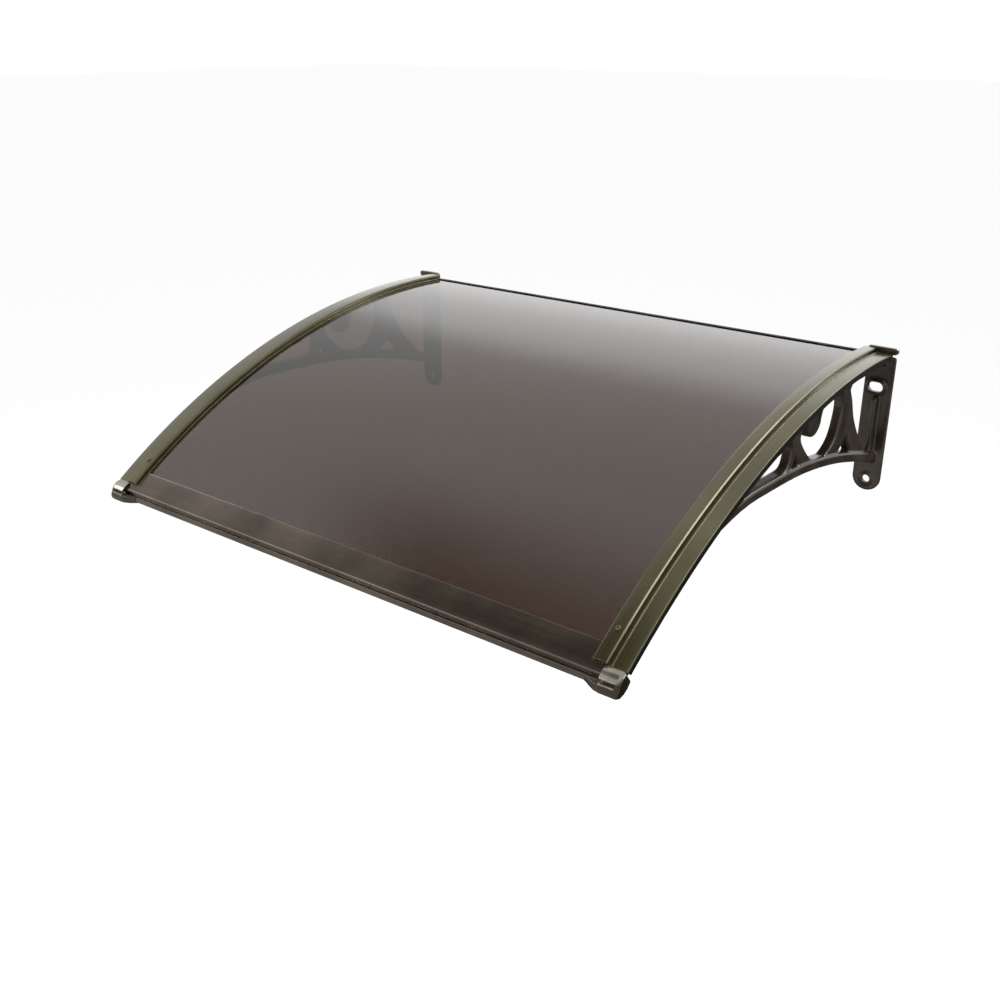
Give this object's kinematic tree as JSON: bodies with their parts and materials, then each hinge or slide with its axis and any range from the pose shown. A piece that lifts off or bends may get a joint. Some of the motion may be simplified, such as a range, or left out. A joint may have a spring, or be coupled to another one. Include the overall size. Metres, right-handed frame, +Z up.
{
  "type": "door canopy",
  "caption": "Bowed door canopy: a bronze tinted clear sheet clamped by aluminium side strips onto moulded openwork wall brackets, with a front profile and corner caps.",
  "frame": {"origin": "on the wall plane, midway between the two brackets, at the height of their upper fixing slots", "axes": "+X along the wall to the right seen from outside, +Y into the wall, +Z up; the canopy reaches out towards -Y"},
  "size_m": [1.017, 0.8022, 0.2582],
  "materials": {
    "bronze_sheet": "clear bronze tint, gloss",
    "anodised_strip": "champagne anodised, satin",
    "anodised_front": "bronze anodised, satin",
    "bracket_plastic": "grey-brown moulding, semi-gloss",
    "cap_plastic": "grey-brown moulding, satin",
    "black_rubber": "matt",
    "screw_steel": "zinc plated"
  },
  "bodies": {
    "root": {"polycarbonate_sheet": "bronze_sheet", "front_profile": "anodised_front", "rear_edge_trim": "black_rubber", "bracket_right": "bracket_plastic", "bracket_left": "bracket_plastic", "side_strip_right": "anodised_strip", "side_strip_left": "anodised_strip", "cover_strip_right": "anodised_strip", "cover_strip_left": "anodised_strip", "sheet_gasket_right": "black_rubber", "sheet_gasket_left": "black_rubber", "front_corner_cap_right": "cap_plastic", "front_corner_cap_left": "cap_plastic", "rear_end_cap_right": "cap_plastic", "rear_end_cap_left": "cap_plastic", "strip_screw_right_1": "screw_steel", "strip_screw_right_2": "screw_steel", "strip_screw_right_3": "screw_steel", "strip_screw_right_4": "screw_steel", "strip_screw_right_5": "screw_steel", "strip_screw_right_6": "screw_steel", "strip_screw_left_1": "screw_steel", "strip_screw_left_2": "screw_steel", "strip_screw_left_3": "screw_steel", "strip_screw_left_4": "screw_steel", "strip_screw_left_5": "screw_steel", "strip_screw_left_6": "screw_steel", "cover_screw_right": "screw_steel", "cover_screw_left": "screw_steel"}
  },
  "joints": []
}
